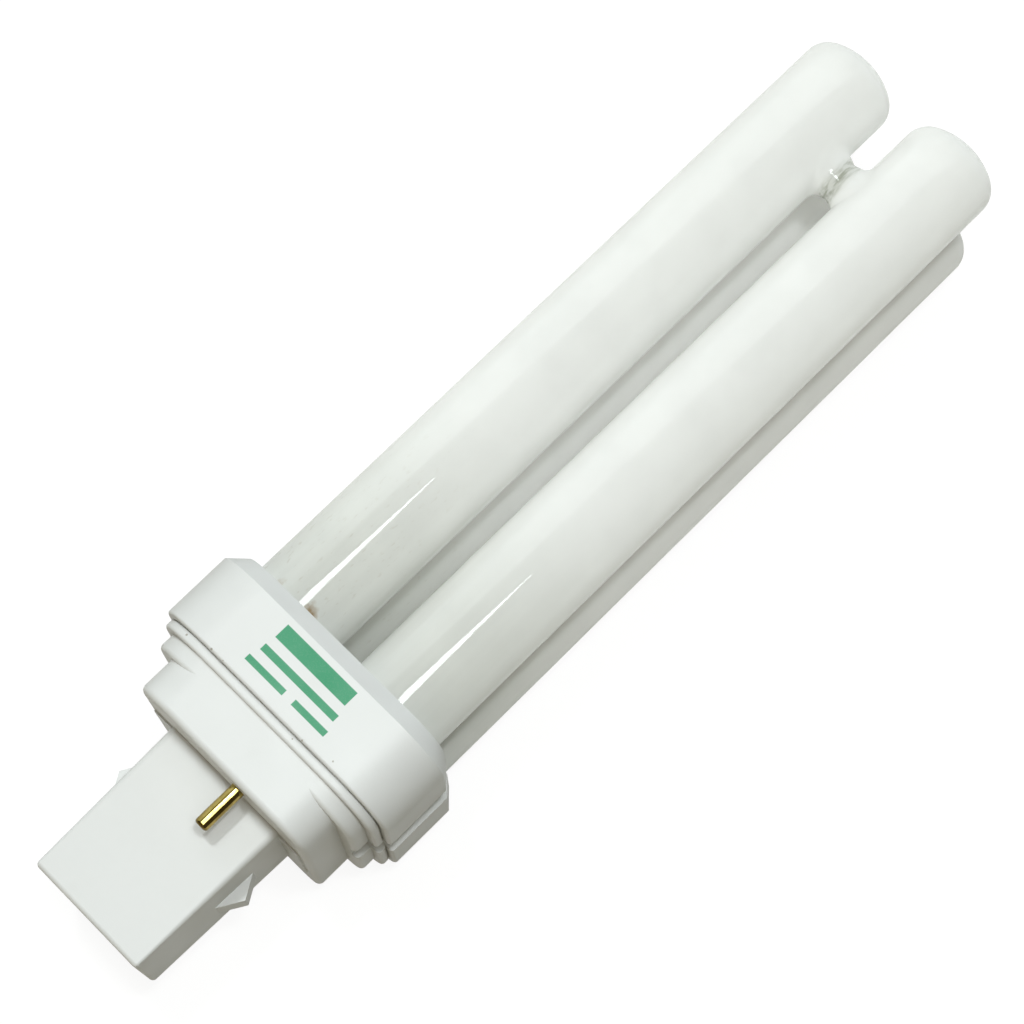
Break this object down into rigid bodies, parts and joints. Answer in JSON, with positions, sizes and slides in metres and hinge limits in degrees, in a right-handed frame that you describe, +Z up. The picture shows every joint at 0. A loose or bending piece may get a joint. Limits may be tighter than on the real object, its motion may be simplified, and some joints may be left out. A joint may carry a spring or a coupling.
{
  "type": "compact fluorescent bulb",
  "caption": "Plug-in compact fluorescent bulb: parallel white glass limbs joined by clear bridges, a square white collar and a stepped base with a plug, latch lugs and brass contact pins.",
  "frame": {"origin": "bottom centre of the box round the lamp as it lies on its back", "axes": "+X along the lamp from the plug to the tube ends, +Y to the lamp's left, +Z up"},
  "size_m": [0.171, 0.0446, 0.0445],
  "materials": {
    "coated_glass": "glossy glass over a white phosphor coat",
    "white_plastic": "fine satin moulding",
    "pin_brass": "drawn, slightly tarnished",
    "starter_glass": "clear glass",
    "capacitor_case": "dipped case",
    "lead_wire": "bare wire"
  },
  "bodies": {
    "root": {"discharge_tube": "coated_glass", "tube_collar": "white_plastic", "base_cap": "white_plastic", "contact_pin_front": "pin_brass", "contact_pin_rear": "pin_brass", "starter_bottle": "starter_glass", "starter_capacitor": "capacitor_case", "pin_lead_front": "lead_wire", "pin_lead_rear": "lead_wire", "starter_lead_front": "lead_wire", "starter_lead_rear": "lead_wire"}
  },
  "joints": []
}
